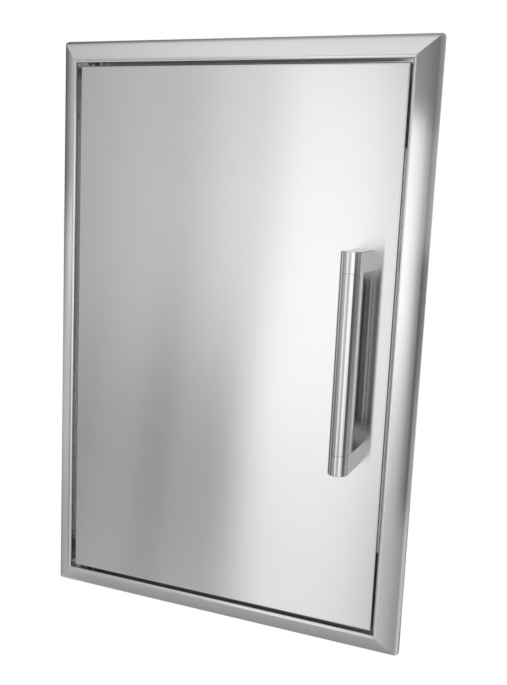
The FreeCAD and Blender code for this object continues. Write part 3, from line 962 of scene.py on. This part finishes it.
def tent_glow(place):
    """How bright the cloth is, by bearing to the right of straight ahead in degrees, and by height."""
    x, y, height = parts_of(place)
    bearing = x.math("ARCTAN2", y * -1.0) * (180.0 / math.pi)

    # The wall left of the window, which most of the leaf shows, grows brighter upwards and towards it.
    wall_level = 0.5
    upwards = rise(height, -0.85, -0.15) * 1.35 - rise(height, 0.1, 0.55) * 0.35
    near_window = rise(bearing, -38.0, -30.0) * 0.14 + rise(bearing, -29.0, -22.0) * 0.25 + 0.12
    foot_light = fall(height, -1.45, -1.15) * 0.12
    far_shade = band(bearing, -85.0, -57.0, 8.0) * fall(height, -0.1, 0.2) * 0.27
    wall = upwards * near_window + wall_level + foot_light - far_shade

    # Two faint folds of the wall's cloth lean with height and fade out below the door's middle.
    fold_half_width = 1.4
    fold_foot = -0.35
    for middle, lean, top, depth in ((-28.5, 1.9, (-0.45, -0.1), 0.1), (-35.5, 2.0, (-0.5, -0.2), 0.07)):
        along = bearing - (height - fold_foot) * lean
        fold = band(along, middle - fold_half_width, middle + fold_half_width, fold_half_width)
        wall = wall - fold * fall(height, *top) * depth

    # The cloth to the left of the door is what the hinge side trim shows. Upwards it keeps its light
    # next to the wall and grows dark further round.
    left_level = 0.42
    left_wall = band(bearing, -101.0, -85.0, 7.0) * 0.4 + left_level
    left_wall = left_wall + band(bearing, -110.0, -101.0, 7.0) * 0.15
    left_wall = left_wall * (fall(height, -0.1, 0.25) * 0.5 + 0.5)
    left_wall = left_wall * (rise(height, -1.2, -0.7) * 0.25 + 0.75)
    left_wall = left_wall * (rise(height, -0.6, 0.1) * (rise(bearing, -103.0, -85.0) * 1.9 - 0.62) + 1.0)
    to_left = fall(bearing, -88.0, -82.0)
    wall = wall * (1.0 - to_left) + left_wall * to_left

    # The window in front and to the right is the brightest stretch. The right of the leaf, the bar and
    # the latch side trim show it. It is dimmer in its middle, at its right foot and towards its top.
    window_level = 1.2
    pane = rise(height, -1.25, -0.5) * 0.38 - rise(height, 0.0, 0.4) * 0.12 + window_level
    pane = pane + rise(bearing, 20.0, 30.0) * 0.2 - band(bearing, -8.0, 20.0, 10.0) * 0.62
    pane = pane - rise(bearing, -15.0, -9.0) * 0.08
    pane = pane - rise(bearing, 32.0, 44.0) * fall(height, -0.8, -0.15) * 0.6
    pane = pane - rise(bearing, 15.0, 30.0) * rise(height, 0.42, 0.52) * 0.74
    pane = pane * (fall(height + bearing * 0.006, 0.65, 0.89) * 0.5 + 0.5)

    # Dark cloth at the far right is what the bar's right flank and the trim's outer shoulder show.
    dark_level = 0.16
    dark = band(height, -0.02, 0.42, 0.14) * 0.25 + fall(height, -1.15, -0.9) * 0.3 + dark_level
    dark = dark + rise(bearing, 84.0, 100.0) * (fall(height, -0.8, -0.3) * 0.2 + 0.14)
    dark = dark + rise(height, 0.4, 0.5) * 0.1

    window_start = rise(bearing - rise(height, -0.7, 0.1) * 2.4, -24.3, -18.9)
    window_end = rise(bearing, 52.0, 62.0)
    glow = wall * (1.0 - window_start) + pane * (window_start - window_end) + dark * window_end

    # Behind the door it is nearly dark, apart from the light that shines through the gap at the latch
    # edge and a little at the hinge edge.
    behind_level = 0.1
    latch_gap_light = 2.4
    hinge_gap_light = 0.35
    from_front = bearing.math("ABSOLUTE")
    behind = rise(from_front + to_left * 13.0 + fall(height, -1.1, -0.9) * 12.0, 151.0, 155.0)
    latch_strip = rise(from_front - to_left * 9.6, 160.0, 163.0) * band(height, -1.55, 0.42, 0.25)
    hinge_strip = band(bearing, 138.0, 152.0, 6.0) * rise(height, -1.15, -0.85)
    glow = glow * (1.0 - behind) + behind * behind_level
    return glow + latch_strip * latch_gap_light + hinge_strip * hinge_gap_light


tent_radius = 2.6
tent_low = -2.4
tent_high = 1.9
tent_sides = 96
tent_cloth, place = blank_material("tent_cloth")
show(tent_cloth, place.node("ShaderNodeEmission", {}, {"Color": tent_glow(place)}))
tent_corners = circle(tent_radius, tent_low, tent_sides) + circle(tent_radius, tent_high, tent_sides)
tent_faces = []
for k in range(tent_sides):
    following = (k + 1) % tent_sides
    tent_faces.append((k, following, following + tent_sides, k + tent_sides))
tent = staged("tent", tent_corners, tent_faces, tent_cloth)
tent.visible_camera = False

# The ceiling is brighter to the right, and dimmer behind the door and far in front of it.
ceiling_level = 0.7
ceiling_cloth, place = blank_material("ceiling_cloth")
ceiling_x, ceiling_y = parts_of(place)[:2]
glow = rise(ceiling_x, -1.7, -0.5) * 0.48 + ceiling_level
glow = glow * (1.0 - rise(ceiling_y, -0.3, 0.15) * 0.4) - rise(ceiling_y, 0.15, 0.5) * 0.25
glow = glow * (1.0 - rise(ceiling_x, -0.6, 0.2) * 0.08) - fall(ceiling_y, -1.5, -1.1) * 0.25
show(ceiling_cloth, place.node("ShaderNodeEmission", {}, {"Color": glow}))
ceiling_rim = circle(tent_radius, tent_high, tent_sides)
ceiling = staged("ceiling", ceiling_rim, [list(range(tent_sides))], ceiling_cloth)
ceiling.visible_camera = False

# The world is white where it is seen or mirrored, and a little dimmer where it only lights.
lit_level = 0.85
world = bpy.data.worlds.new("world")
bpy.context.scene.world = world
world.use_nodes = True
world.node_tree.nodes.clear()
rays = world.node_tree.nodes.new("ShaderNodeLightPath")
direct, mirrored, transmitted = (
    Socket(rays.outputs[label]) for label in ("Is Camera Ray", "Is Glossy Ray", "Is Transmission Ray")
)
seen = (direct + mirrored + transmitted).math("MINIMUM", 1.0)
surround = seen.node("ShaderNodeBackground", {}, {"Color": seen * (1.0 - lit_level) + lit_level})
output = world.node_tree.nodes.new("ShaderNodeOutputWorld")
world.node_tree.links.new(surround.socket, output.inputs["Surface"])

bpy.context.scene.view_settings.view_transform = "Standard"
